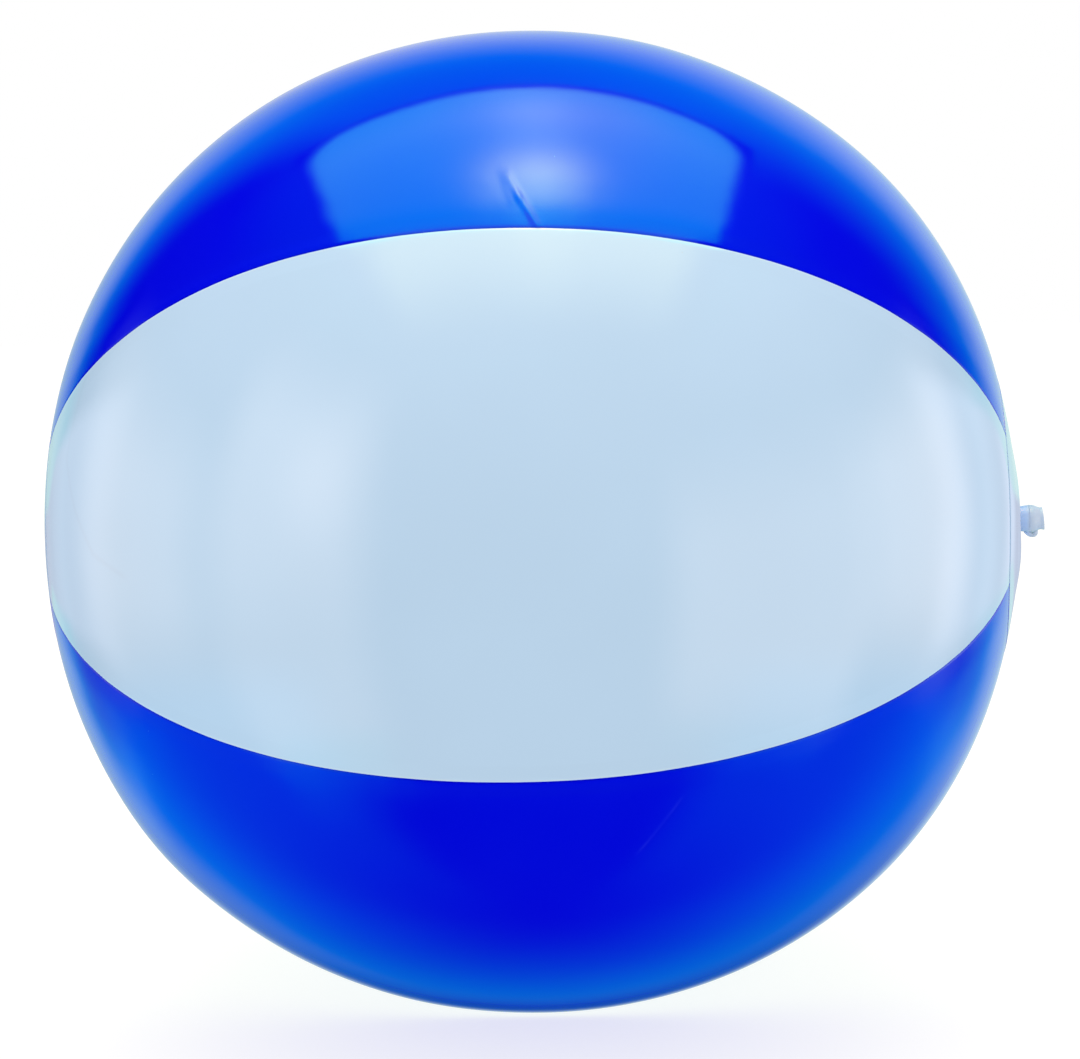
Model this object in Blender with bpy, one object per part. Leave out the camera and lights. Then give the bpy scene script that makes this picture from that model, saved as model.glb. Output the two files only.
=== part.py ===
"""A six-panel beach ball with a push-in valve, built as separate closed solids.

Units are metres and +Z is up. The polar axis of the ball lies along X with the valve at +X, the
front white panel faces -Y, and the ball rests on the plane Z = 0 with its centre above the origin.
"""
import math

import bmesh
import bpy
from mathutils import Vector

# Ball
EQUATOR_RADIUS = 0.140
POLE_HALF_LENGTH = 0.1388
SHOULDER_EXPONENT = 2.07    # 2 is a plain ellipse, and a little more makes the shoulders fuller
FLOOR_FLAT_RADIUS = 0.018   # the patch that the ball's own weight presses flat on the floor
FRONT_PANEL_TILT = math.radians(12.0)

# Film panels: each lapping panel lies over the edges of its two tucked neighbours
FILM_THICKNESS = 0.00025
LAYER_GAP = 0.0003
SEAM_LAP = 0.005
SEAM_EDGE_CLEARANCE = 0.0005
SEAM_STEP_LENGTH = 0.002

# End discs
DISC_RADIUS = 0.0405
DISC_LAP = 0.007
DISC_THICKNESS = 0.0003

# Valve stem, with heights measured outward from the film at the pole
STEM_BORE_RADIUS = 0.0024
STEM_WALL = 0.00105
STEM_RIM_HEIGHT = 0.0040
STEM_INNER_LENGTH = 0.0050
STEM_LIP_OVERHANG = 0.0002
STEM_LIP_HEIGHT = 0.0008

# Plug
PLUG_SPIGOT_CLEARANCE = 0.00015
PLUG_SPIGOT_LENGTH = 0.0038
PLUG_SPIGOT_TAPER = 0.00075
PLUG_COLLAR_OVERHANG = 0.0003
PLUG_COLLAR_HEIGHT = 0.0013
PLUG_WAIST_DEPTH = 0.0004
PLUG_WAIST_HEIGHT = 0.0015
PLUG_LIP_SETBACK = 0.0005
PLUG_LIP_HEIGHT = 0.0012

# Strap between stem and plug, a loop on the lower side of the valve
STRAP_WIDTH = 0.0026
STRAP_THICKNESS = 0.0008
STRAP_REACH = 0.0019
STRAP_BEND_RADIUS = 0.0009
STRAP_ROOT_DROP = 0.0010

# Flange and rolling neck that carry the stem
VALVE_HOLE_CLEARANCE = 0.0014
FLANGE_WIDTH = 0.0055
FLANGE_THICKNESS = 0.0006
NECK_RISE = 0.0016
NECK_THICKNESS = 0.0004

# Check flap at the inner end of the stem
FLAP_OVERLAP = 0.0006
FLAP_THICKNESS = 0.0005
FLAP_TAB_WIDTH = 0.0030
FLAP_TAB_OVERRUN = 0.00025

# Mesh fineness
ROW_STEP = math.radians(5.0)
PANEL_COLUMNS = 8
CONTACT_MESH_STEP = 0.0045
CONTACT_MESH_MARGIN = 0.003
DISC_RING_STEP = 0.0060
DISC_SEGMENTS = 48
VALVE_SEGMENTS = 32
BEND_SEGMENTS = 5
FLAP_ARC_SEGMENTS = 24

# Colours
BLUE = (0.005, 0.030, 0.720)
WHITE = (0.800, 0.860, 0.920)
VALVE_WHITE = (0.700, 0.770, 0.880)
FILM_ROUGHNESS = 0.12
VALVE_ROUGHNESS = 0.30

# Panels in order round the polar axis, from the front upward: name and whether it laps the others
PANELS = (
    ("white_panel_front", False),
    ("blue_panel_top", True),
    ("white_panel_upper_back", False),
    ("blue_panel_back", True),
    ("white_panel_lower_back", False),
    ("blue_panel_front_lower", True),
)

# Places that several pieces share
PANEL_HALF_ANGLE = math.pi / len(PANELS)
BALL_CENTRE_HEIGHT = math.sqrt(EQUATOR_RADIUS ** 2 - FLOOR_FLAT_RADIUS ** 2)
LAP_LIFT = FILM_THICKNESS + LAYER_GAP
DISC_LIFT = LAP_LIFT + LAYER_GAP + DISC_THICKNESS
STEM_RADIUS = STEM_BORE_RADIUS + STEM_WALL
PLUG_COLLAR_RADIUS = STEM_RADIUS + PLUG_COLLAR_OVERHANG
PLUG_LIP_RADIUS = PLUG_COLLAR_RADIUS - PLUG_LIP_SETBACK
PLUG_WAIST_RADIUS = PLUG_LIP_RADIUS - PLUG_WAIST_DEPTH
PLUG_SEAT_HEIGHT = STEM_RIM_HEIGHT + LAYER_GAP
STRAP_ROOT_HEIGHT = STEM_RIM_HEIGHT - STRAP_ROOT_DROP
STRAP_END_HEIGHT = PLUG_SEAT_HEIGHT + PLUG_COLLAR_HEIGHT + PLUG_WAIST_HEIGHT / 2
STRAP_OUTER_RUN = STEM_RADIUS + STRAP_REACH
VALVE_HOLE_RADIUS = (
    math.hypot(STRAP_OUTER_RUN + STRAP_THICKNESS / 2, STRAP_WIDTH / 2) + VALVE_HOLE_CLEARANCE
)


def clear_scene():
    for item in list(bpy.data.objects):
        bpy.data.objects.remove(item, do_unlink=True)


def make_material(name, colour, roughness):
    material = bpy.data.materials.new(name)
    material.use_nodes = True
    shader = material.node_tree.nodes["Principled BSDF"]
    shader.inputs["Base Color"].default_value = (*colour, 1.0)
    shader.inputs["Roughness"].default_value = roughness
    shader.inputs["Metallic"].default_value = 0.0
    return material


def add_empty(name, location, rotation=(0.0, 0.0, 0.0), parent=None):
    empty = bpy.data.objects.new(name, None)
    empty.location = location
    empty.rotation_euler = rotation
    empty.parent = parent
    bpy.context.scene.collection.objects.link(empty)
    return empty


def add_mesh(name, shape, parent, material):
    """Turn a bmesh into an object under its parent."""
    mesh = bpy.data.meshes.new(name)
    shape.to_mesh(mesh)
    shape.free()
    mesh.materials.append(material)
    item = bpy.data.objects.new(name, mesh)
    item.parent = parent
    bpy.context.scene.collection.objects.link(item)
    return item


def thicken(item, thickness, offset):
    """Give a surface its thickness: offset -1 goes inward, 0 to both sides."""
    solidify = item.modifiers.new("thickness", "SOLIDIFY")
    solidify.thickness = thickness
    solidify.offset = offset
    solidify.use_even_offset = True
    solidify.use_quality_normals = True


def spread(low, high, step):
    """Evenly spaced values from low to high, no further apart than step."""
    count = max(1, math.ceil((high - low) / step - 1e-9))
    return [low + (high - low) * index / count for index in range(count + 1)]


def spread_with_fine_zone(low, high, step, zone_low, zone_high, fine_step):
    before = spread(low, zone_low, step)
    zone = spread(zone_low, zone_high, fine_step)
    after = spread(zone_high, high, step)
    return before[:-1] + zone[:-1] + after


# The ball's meridian is a superellipse, walked by an angle that is 0 at the equator

def meridian_angle_at_radius(radius):
    return math.acos((radius / EQUATOR_RADIUS) ** (SHOULDER_EXPONENT / 2))


def meridian_angle_at_axial(axial):
    return math.asin((axial / POLE_HALF_LENGTH) ** (SHOULDER_EXPONENT / 2))


def meridian_point(angle, lift):
    """Axial place and radius of a point on the meridian, lifted outward along its normal."""
    power = 2 / SHOULDER_EXPONENT
    axial_share = math.copysign(abs(math.sin(angle)) ** power, angle)
    radius_share = math.cos(angle) ** power
    steepness = SHOULDER_EXPONENT - 1
    normal = Vector((
        math.copysign(abs(axial_share) ** steepness, angle) / POLE_HALF_LENGTH,
        radius_share ** steepness / EQUATOR_RADIUS,
    )).normalized()
    axial = POLE_HALF_LENGTH * axial_share + lift * normal.x
    radius = EQUATOR_RADIUS * radius_share + lift * normal.y
    return axial, radius


def ball_point(meridian_angle, turn, lift):
    """A point on the ball, turned about the polar axis from the front upward."""
    axial, radius = meridian_point(meridian_angle, lift)
    return Vector((axial, -radius * math.cos(turn), radius * math.sin(turn)))


# Film panels

def panel_columns(radius, laps, shares):
    """Turn from the panel's middle and lift, for each column of one row."""
    if not laps:
        edge = PANEL_HALF_ANGLE + SEAM_LAP / radius
        return [(edge * share, 0.0) for share in shares]
    strip = (SEAM_LAP + SEAM_EDGE_CLEARANCE) / radius
    foot = PANEL_HALF_ANGLE - strip - SEAM_STEP_LENGTH / radius
    body = [(foot * share, 0.0) for share in shares]
    lower = [(-PANEL_HALF_ANGLE, LAP_LIFT), (strip - PANEL_HALF_ANGLE, LAP_LIFT)]
    upper = [(PANEL_HALF_ANGLE - strip, LAP_LIFT), (PANEL_HALF_ANGLE, LAP_LIFT)]
    return lower + body + upper


def panel_grid(middle_turn):
    """Rows and column shares of a panel, finer round the floor patch where the panel holds it."""
    end_angle = meridian_angle_at_radius(DISC_RADIUS - DISC_LAP)
    floor_turn = math.remainder(-math.pi / 2 - middle_turn, 2 * math.pi)
    if abs(floor_turn) > PANEL_HALF_ANGLE:
        return spread(-end_angle, end_angle, ROW_STEP), spread(-1.0, 1.0, 2 / PANEL_COLUMNS)
    zone = FLOOR_FLAT_RADIUS + CONTACT_MESH_MARGIN
    zone_angle = meridian_angle_at_axial(zone)
    edge_turn = PANEL_HALF_ANGLE + SEAM_LAP / EQUATOR_RADIUS
    floor_share = floor_turn / edge_turn
    zone_share = zone / EQUATOR_RADIUS / edge_turn
    fine_share = CONTACT_MESH_STEP / EQUATOR_RADIUS / edge_turn
    rows = spread_with_fine_zone(
        -end_angle, end_angle, ROW_STEP, -zone_angle, zone_angle, CONTACT_MESH_STEP / EQUATOR_RADIUS)
    shares = spread_with_fine_zone(
        -1.0, 1.0, 2 / PANEL_COLUMNS, floor_share - zone_share, floor_share + zone_share, fine_share)
    return rows, shares


def add_panel(name, laps, middle_turn, parent, material):
    rows, shares = panel_grid(middle_turn)
    columns = len(panel_columns(EQUATOR_RADIUS, laps, shares))
    shape = bmesh.new()
    bmesh.ops.create_grid(shape, x_segments=len(rows) - 1, y_segments=columns - 1, size=0.5)
    for vertex in shape.verts:
        row = rows[round((vertex.co.x + 0.5) * (len(rows) - 1))]
        column = round((vertex.co.y + 0.5) * (columns - 1))
        _, radius = meridian_point(row, 0.0)
        turn, lift = panel_columns(radius, laps, shares)[column]
        vertex.co = ball_point(row, middle_turn + turn, lift)
        vertex.co.z = max(vertex.co.z, -BALL_CENTRE_HEIGHT)
    panel = add_mesh(name, shape, parent, material)
    thicken(panel, FILM_THICKNESS, -1.0)


# Spun pieces: a profile of (radius, height) points, from the top down the outer side

def add_spun(name, profile, segments, parent, material, closed=False):
    shape = bmesh.new()
    points = [shape.verts.new((radius, 0.0, height)) for radius, height in profile]
    for first, second in zip(points, points[1:]):
        shape.edges.new((first, second))
    if closed:
        shape.edges.new((points[-1], points[0]))
    item = add_mesh(name, shape, parent, material)
    screw = item.modifiers.new("spin", "SCREW")
    screw.axis = "Z"
    screw.angle = 2 * math.pi
    screw.steps = segments
    screw.render_steps = segments
    screw.use_merge_vertices = True
    screw.merge_threshold = 1e-6
    return item


def dome_profile(inner_radius, outer_radius, lift):
    """Points of the ball's end cap, as radius and height over the film at the pole."""
    profile = []
    for radius in spread(inner_radius, outer_radius, DISC_RING_STEP):
        axial, lifted_radius = meridian_point(meridian_angle_at_radius(radius), lift)
        profile.append((lifted_radius if radius else 0.0, axial - POLE_HALF_LENGTH))
    return profile


def add_dome(name, inner_radius, outer_radius, lift, thickness, parent, material):
    profile = dome_profile(inner_radius, outer_radius, lift)
    dome = add_spun(name, profile, DISC_SEGMENTS, parent, material)
    thicken(dome, thickness, -1.0)


def add_neck(parent, material):
    outer_radius = VALVE_HOLE_RADIUS - LAYER_GAP
    _, flange_top = dome_profile(VALVE_HOLE_RADIUS, VALVE_HOLE_RADIUS + FLANGE_WIDTH, LAP_LIFT)[0]
    foot_height = flange_top - FLANGE_THICKNESS / 2
    profile = [
        (STEM_RADIUS + LAYER_GAP, foot_height + NECK_RISE),
        (outer_radius, foot_height),
    ]
    neck = add_spun("valve_neck", profile, VALVE_SEGMENTS, parent, material)
    thicken(neck, NECK_THICKNESS, 0.0)


def add_stem(parent, material):
    lip_radius = STEM_RADIUS + STEM_LIP_OVERHANG
    lip_foot = STEM_RIM_HEIGHT - STEM_LIP_HEIGHT
    profile = [
        (STEM_BORE_RADIUS, STEM_RIM_HEIGHT),
        (lip_radius, STEM_RIM_HEIGHT),
        (lip_radius, lip_foot),
        (STEM_RADIUS, lip_foot - STEM_LIP_OVERHANG),
        (STEM_RADIUS, -STEM_INNER_LENGTH),
        (STEM_BORE_RADIUS, -STEM_INNER_LENGTH),
    ]
    add_spun("valve_stem", profile, VALVE_SEGMENTS, parent, material, closed=True)


def add_plug(parent, material):
    spigot_radius = STEM_BORE_RADIUS - PLUG_SPIGOT_CLEARANCE
    waist_foot = PLUG_SEAT_HEIGHT + PLUG_COLLAR_HEIGHT
    waist_top = waist_foot + PLUG_WAIST_HEIGHT
    top = waist_top + PLUG_LIP_HEIGHT
    tip = PLUG_SEAT_HEIGHT - PLUG_SPIGOT_LENGTH
    profile = [
        (0.0, top),
        (PLUG_LIP_RADIUS, top),
        (PLUG_LIP_RADIUS, waist_top),
        (PLUG_WAIST_RADIUS, waist_top),
        (PLUG_WAIST_RADIUS, waist_foot),
        (PLUG_COLLAR_RADIUS, waist_foot),
        (PLUG_COLLAR_RADIUS, PLUG_SEAT_HEIGHT),
        (spigot_radius, PLUG_SEAT_HEIGHT),
        (spigot_radius - PLUG_SPIGOT_TAPER, tip),
        (0.0, tip),
    ]
    add_spun("valve_plug", profile, VALVE_SEGMENTS, parent, material)


# Strap and flap, each about the empty on its hinge axis

def bend_points(centre_x, centre_z, start, end):
    """Points of a strap bend, from one angle to another in the valve's X-Z plane."""
    points = []
    for angle in spread(start, end, (end - start) / BEND_SEGMENTS):
        x = centre_x + STRAP_BEND_RADIUS * math.cos(angle)
        z = centre_z + STRAP_BEND_RADIUS * math.sin(angle)
        points.append((x, z))
    return points


def strap_path():
    """Centre line of the strap from the stem, round its loop, to the plug's waist."""
    bend_x = STRAP_OUTER_RUN - STRAP_BEND_RADIUS
    root = (STEM_RADIUS + STEM_LIP_OVERHANG + LAYER_GAP, STRAP_ROOT_HEIGHT)
    end = (PLUG_WAIST_RADIUS + LAYER_GAP, STRAP_END_HEIGHT)
    first_bend = bend_points(bend_x, STRAP_ROOT_HEIGHT + STRAP_BEND_RADIUS, -math.pi / 2, 0.0)
    second_bend = bend_points(bend_x, STRAP_END_HEIGHT - STRAP_BEND_RADIUS, 0.0, math.pi / 2)
    return [root] + first_bend + second_bend + [end]


def add_strap(parent, material):
    hinge = add_empty(
        "strap_hinge", (STRAP_OUTER_RUN, 0.0, (STRAP_ROOT_HEIGHT + STRAP_END_HEIGHT) / 2), parent=parent)
    shape = bmesh.new()
    edges = []
    for x, z in strap_path():
        place = Vector((x, 0.0, z)) - hinge.location
        sides = [shape.verts.new(place + Vector((0.0, side * STRAP_WIDTH / 2, 0.0))) for side in (-1, 1)]
        edges.append(sides)
    for lower, upper in zip(edges, edges[1:]):
        shape.faces.new((lower[0], upper[0], upper[1], lower[1]))
    strap = add_mesh("plug_strap", shape, hinge, material)
    thicken(strap, STRAP_THICKNESS, 0.0)


def add_flap(parent, material):
    height = -STEM_INNER_LENGTH - LAYER_GAP - FLAP_THICKNESS / 2
    hinge = add_empty("flap_hinge", (-STEM_RADIUS, 0.0, height), parent=parent)
    radius = STEM_BORE_RADIUS + FLAP_OVERLAP
    tab_side = FLAP_TAB_WIDTH / 2
    join_angle = math.pi - math.asin(tab_side / radius)
    outline = [(-FLAP_TAB_OVERRUN, -tab_side)]
    for angle in spread(-join_angle, join_angle, 2 * join_angle / FLAP_ARC_SEGMENTS):
        outline.append((STEM_RADIUS + radius * math.cos(angle), radius * math.sin(angle)))
    outline.append((-FLAP_TAB_OVERRUN, tab_side))
    shape = bmesh.new()
    shape.faces.new([shape.verts.new((x, y, 0.0)) for x, y in outline])
    flap = add_mesh("check_flap", shape, hinge, material)
    thicken(flap, FLAP_THICKNESS, 0.0)


def main():
    clear_scene()
    blue = make_material("blue_film", BLUE, FILM_ROUGHNESS)
    white = make_material("white_film", WHITE, FILM_ROUGHNESS)
    valve_white = make_material("valve_plastic", VALVE_WHITE, VALVE_ROUGHNESS)

    ball = add_empty("ball_centre", (0.0, 0.0, BALL_CENTRE_HEIGHT))
    for index, (name, laps) in enumerate(PANELS):
        middle_turn = FRONT_PANEL_TILT + 2 * PANEL_HALF_ANGLE * index
        add_panel(name, laps, middle_turn, ball, blue if laps else white)

    # Each end has its own upward axis along the polar axis, away from the ball
    quarter = math.pi / 2
    valve_end = add_empty("valve_end", (POLE_HALF_LENGTH, 0.0, 0.0), (0.0, quarter, 0.0), ball)
    plain_end = add_empty("plain_end", (-POLE_HALF_LENGTH, 0.0, 0.0), (0.0, -quarter, 0.0), ball)
    add_dome("valve_end_disc", VALVE_HOLE_RADIUS, DISC_RADIUS, DISC_LIFT, DISC_THICKNESS, valve_end, white)
    add_dome("plain_end_disc", 0.0, DISC_RADIUS, DISC_LIFT, DISC_THICKNESS, plain_end, white)

    flange_radius = VALVE_HOLE_RADIUS + FLANGE_WIDTH
    add_dome(
        "valve_flange", VALVE_HOLE_RADIUS, flange_radius, LAP_LIFT, FLANGE_THICKNESS, valve_end, valve_white)
    add_neck(valve_end, valve_white)
    add_stem(valve_end, valve_white)
    add_plug(valve_end, valve_white)
    add_strap(valve_end, valve_white)
    add_flap(valve_end, valve_white)


main()
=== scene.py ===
"""Render scene of a six-panel beach ball with a push-in valve.

Units are metres and +Z is up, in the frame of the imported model: the polar axis of the ball lies along
X with the valve at +X, the front white panel faces -Y, and the ball rests on the plane Z = 0.
"""
import math

import bmesh
import bpy
from mathutils import Matrix, Vector

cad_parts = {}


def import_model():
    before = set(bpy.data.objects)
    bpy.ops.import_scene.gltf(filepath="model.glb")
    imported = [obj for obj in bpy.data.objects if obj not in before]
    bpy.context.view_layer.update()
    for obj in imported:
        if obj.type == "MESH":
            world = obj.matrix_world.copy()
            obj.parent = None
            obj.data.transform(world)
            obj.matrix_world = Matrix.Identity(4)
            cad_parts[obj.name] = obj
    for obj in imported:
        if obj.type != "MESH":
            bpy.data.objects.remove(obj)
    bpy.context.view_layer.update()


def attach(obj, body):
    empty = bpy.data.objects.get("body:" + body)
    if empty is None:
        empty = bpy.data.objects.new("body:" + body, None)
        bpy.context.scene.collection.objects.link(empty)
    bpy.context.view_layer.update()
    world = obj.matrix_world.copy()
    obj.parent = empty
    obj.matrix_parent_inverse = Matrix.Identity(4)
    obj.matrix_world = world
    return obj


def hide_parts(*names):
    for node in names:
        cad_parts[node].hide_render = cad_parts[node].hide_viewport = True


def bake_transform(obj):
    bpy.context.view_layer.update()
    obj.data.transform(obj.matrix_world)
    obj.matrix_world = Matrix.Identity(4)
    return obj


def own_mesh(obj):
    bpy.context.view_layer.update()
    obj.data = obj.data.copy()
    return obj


# Degrees in a radian
DEGREES = 180.0 / math.pi

# Ball, with the sizes of the solid model
EQUATOR_RADIUS = 0.140
POLE_HALF_LENGTH = 0.1388
SHOULDER_EXPONENT = 2.07
FLOOR_FLAT_RADIUS = 0.018
FRONT_PANEL_TILT = math.radians(12.0)
BALL_CENTRE_HEIGHT = math.sqrt(EQUATOR_RADIUS ** 2 - FLOOR_FLAT_RADIUS ** 2)

# Film panels: each blue panel is welded over the edges of its two white neighbours
FILM_THICKNESS = 0.00025
SEAM_LAP = 0.005
LAP_RISE = 0.00007
LAP_EDGE_RISE = 0.00003
LAP_EDGE_ROUND = 0.0008
LAP_FADE_LENGTH = 0.009
TUCK_DEPTH = 0.00022
TUCK_FADE_LENGTH = 0.0008

# Unevenness of the blown-up film
PUCKER_HEIGHT = 0.00016
PUCKER_LENGTH = 0.011
PUCKER_REACH = 0.010
SWELL_HEIGHT = 0.0009
SWELL_LENGTH = 0.085
SWELL_DETAIL = 1.0
SWELL_CALM_RADIUS = 0.020
SWELL_FULL_RADIUS = 0.065
PLAIN_END_SLACK = 0.0005
PLAIN_END_LATITUDES = (-82.0, -64.0)

# Where the film is fuller low on the ball and slacker high on it: latitude, width in degrees and height
LOWER_FULLNESS = (
    (57.0, 20.0, 0.0011),
    (-48.0, 10.0, 0.0007),
)
UPPER_SLACK = (
    (30.0, 12.0, 0.0004),
    (76.0, 6.0, 0.0004),
)
HIGH_AND_LOW_SHARES = (0.2, 0.9)

# End discs: flush at the rim, and pushed out round the valve, more on the strap's side
DISC_RADIUS = 0.0405
DISC_LAP = 0.007
DISC_THICKNESS = 0.0003
DISC_RISE = 0.00006
DISC_WELD_WIDTH = 0.0062
DISC_BLEND_LENGTH = 0.010
DISC_ROOM = 0.0018
DISC_ROOM_CLEARANCE = 0.0001
VALVE_BULGE = 0.00095
VALVE_BULGE_INNER_RADIUS = 0.005
VALVE_BULGE_OUTER_RADIUS = 0.025
VALVE_DIMPLE_DEPTH = 0.0006
VALVE_DIMPLE_INNER_RADIUS = 0.006
VALVE_DIMPLE_OUTER_RADIUS = 0.012
VALVE_SAG = 0.0009
VALVE_SAG_RADIUS = 0.016
VALVE_SAG_WIDTH = 0.010
VALVE_HOLE_RADIUS = 0.0073

# Valve, a little below the pole, with heights measured outward from the film at the pole
VALVE_DROP = 0.0013
STEM_BORE_RADIUS = 0.0024
STEM_RADIUS = 0.0035
STEM_RIM_RADIUS = 0.00388
STEM_RIM_HEIGHT = 0.0038
STEM_INNER_LENGTH = 0.0050
STEM_ROUNDING = 0.0003
STEM_LIP_HEIGHT = 0.0010
STEM_LIP_TAPER = 0.0001
STEM_LIP_ROUNDING = 0.0005
STEM_SHOULDER_HEIGHT = 0.0008
STEM_SHOULDER_ROUNDING = 0.0008
STEM_BORE_JOIN_HEIGHT = -0.0010
SEAT_EDGE_ROUNDING = 0.00006
PLUG_SEAT_HEIGHT = 0.00384
PLUG_SPIGOT_RADIUS = 0.00225
PLUG_TIP_RADIUS = 0.0015
PLUG_TIP_ROUNDING = 0.0005
PLUG_SPIGOT_LENGTH = 0.0034
PLUG_SPIGOT_ROUNDING = 0.0002
PLUG_COLLAR_RADIUS = 0.00395
PLUG_COLLAR_HEIGHT = 0.0012
PLUG_COLLAR_ROUNDING = 0.0006
PLUG_WAIST_RADIUS = 0.0031
PLUG_WAIST_HEIGHT = 0.0021
PLUG_WAIST_ROUNDING = 0.0004
PLUG_LIP_RADIUS = 0.0033
PLUG_LIP_HEIGHT = 0.0009
PLUG_LIP_ROUNDING = 0.0001
PLUG_FACE_SLANT = 0.10
PLUG_DISH_RADIUS = 0.0022
PLUG_DISH_DEPTH = 0.0005
PLUG_DISH_EDGE_SHARE = 0.7
PLUG_DISH_ROUNDING = 0.0006
STRAP_WIDTH = 0.0026
STRAP_THICKNESS = 0.0015
STRAP_OUTER_RUN = 0.0046
STRAP_ROUNDING = 0.0009
STRAP_TONGUE_SHARE = 0.94
STRAP_WIDE_SQUARENESS = 0.45
STRAP_THICK_SQUARENESS = 0.6
STRAP_ROOT_HEIGHT = 0.0031
STRAP_FOOT_HEIGHT = 0.0042
STRAP_END_HEIGHT = 0.0058
FLANGE_OUTER_RADIUS = 0.0128
FLANGE_LIFT = -0.00028
FLANGE_THICKNESS = 0.0006
FLANGE_ROUNDING = 0.0002
FLANGE_JOIN_STEP = 0.0001
NECK_FOOT_HEIGHT = -0.0009
NECK_FOOT_LAP = 0.0006
NECK_FOOT_RUN = 0.0021
NECK_FOOT_ROUNDING = 0.0012
NECK_RISE = 0.0012
NECK_TURN = 0.0002
NECK_TOP_ROUNDING = 0.0006
NECK_STEM_CLEARANCE = 0.0001
NECK_THICKNESS = 0.0003
FLAP_RADIUS = 0.0030
FLAP_THICKNESS = 0.0005
FLAP_GAP = 0.0003
FLAP_TAB_WIDTH = 0.0030
FLAP_TAB_RUN = 0.0047
FLAP_EDGE_ROUNDING = 0.00012
HINGE_THICKNESS = 0.0004
HINGE_ROUNDING = 0.0006
HINGE_ROOT_RUN = 0.0031
HINGE_ROOT_HEIGHT = -0.0040

# Mesh fineness
PANEL_ROWS = 300
PANEL_ROW_CROWDING = 0.3
PANEL_COLUMNS = 97
DISC_RINGS = 40
DISC_RING_CROWDING = 1.6
DISC_TURNS = 145
VALVE_SEGMENTS = 72
CORNER_STEPS = 4
SOFT_BEND_STEPS = 6
STRAP_BEND_STEPS = 8
STRAP_SIDES = 24
FLAP_STEPS = 40
FLAP_EDGE_STEPS = 3
SEAM_MERGE_DISTANCE = 0.000005
POINT_MERGE_DISTANCE = 0.000001
FILM_SHARP_ANGLE = math.radians(50.0)
VALVE_SHARP_ANGLE = math.radians(60.0)

# Colours
BLUE = (0.000, 0.000, 0.755)
WHITE = (0.510, 0.680, 0.850)
STEM_BLUISH = (0.500, 0.660, 0.950)
PLUG_WHITE = (0.570, 0.660, 0.790)
BLUE_DUST = (0.30, 0.40, 0.85)
WHITE_DUST = (0.42, 0.46, 0.55)
# Lines along the films' edges: painted shade of the lapping edge on the blue film, a paler line on the
# white film
BLUE_EDGE_SHADE = (0.00, 0.00, 0.35)
WHITE_EDGE_LINE = (0.72, 0.84, 0.93)
DISC_WHITE = (0.455, 0.620, 0.810)
# A darker line along the disc's rim
DISC_RIM_LINE = (0.43, 0.59, 0.77)
DISC_BAND = (0.465, 0.630, 0.815)
BLUE_GLOSS = (0.12, 1.0, 1.0)
WHITE_GLOSS = (1.0, 1.0, 1.0)
FILM_INDEX = 1.65
DISC_INDEX = 1.40

# Film finish: slow tone drift, weld band, a line along the edge (painted shade of the lapping edge on the
# blue film), dust, haze, ripple and grain
DRIFT_LENGTH = 0.070
DRIFT_DETAIL = 3.0
DRIFT_REACH = 0.22
DRIFT_SHARE = 0.015
WELD_BAND_START = 0.0006
WELD_BAND_SOFT = 0.0008
# Edge line: painted shade of the lapping edge on the blue film, paler on the white film, darker at the
# disc's rim
EDGE_LINE_PLACE = 0.0002
EDGE_LINE_WIDTH = 0.00035
EDGE_LINE_STRENGTH = 0.4
DUST_SPACING = 0.011
DUST_SIZE = 0.00022
DUST_SHARE = 0.16
DUST_STRENGTH = 0.45
HAZE_LENGTH = 0.030
HAZE_DETAIL = 4.0
FILM_ROUGHNESS = 0.10
HAZE_ROUGHNESS = 0.05
WELD_ROUGHNESS = 0.02
DUST_ROUGHNESS = 0.3
RIPPLE_LENGTH = 0.013
RIPPLE_HEIGHT = 0.00003
GRAIN_LENGTH = 0.0011
GRAIN_HEIGHT = 0.0000012
LINE_END_FADE = 0.15

# Valve finish: cloudy vinyl that turns paler from below the plug's seat to above it
CLOUD_LENGTH = 0.004
CLOUD_DETAIL = 3.0
CLOUD_SHIFT = 0.0012
PALE_START_BELOW_SEAT = 0.0010
PALE_END_ABOVE_SEAT = 0.0008
VALVE_ROUGHNESS = 0.30
VALVE_SMEAR_LENGTH = 0.002
VALVE_SMEAR_ROUGHNESS = 0.10
VALVE_GRAIN_LENGTH = 0.0006
VALVE_GRAIN_HEIGHT = 0.000012
VALVE_INDEX = 1.5
VALVE_MILKINESS = 0.25
VALVE_MILK_COLOUR = (0.8, 0.9, 1.0)
VALVE_MILK_DEPTH = 0.0015

# Folds pressed into the top blue panel: start, end, half width and height
TOP_PANEL_FOLDS = (
    ((0.0087, -0.1046, 0.2318), (0.0024, -0.0958, 0.2410), 0.00085, 0.00016),
    ((0.0034, -0.0978, 0.2390), (-0.0002, -0.0905, 0.2455), 0.00085, 0.00012),
    ((0.0018, -0.0988, 0.2380), (-0.0016, -0.0898, 0.2462), 0.00095, 0.00005),
)

# A faint rubbed line on each film: its points from end to end, half width and strength
BLUE_RUB = (
    ((0.0417, -0.1243, 0.0882), (0.0313, -0.1206, 0.0741)),
    0.00040,
    0.03,
)
WHITE_RUB = (
    (
        (-0.1166, -0.0593, 0.1904),
        (-0.1223, -0.0620, 0.1688),
        (-0.1188, -0.0730, 0.1567),
        (-0.1125, -0.0843, 0.1467),
        (-0.1023, -0.0969, 0.1428),
    ),
    0.00080,
    0.10,
)

# Floor
FLOOR_COLOUR = (0.38, 0.37, 0.31)
FLOOR_ROUGHNESS = 0.9
FLOOR_GLOW = 0.72
FLOOR_RADIUS = 1.7
FLOOR_SIDES = 64
FLOOR_DROP = 0.0003

# Light: the fill alone shows a colour about as it is written
FILL_LEVEL = 0.99
KEY_POWER = 4.2
KEY_COLOUR = (1.0, 0.88, 0.80)
KEY_SIZE = 1.1
KEY_HEIGHT = 1.10

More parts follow.
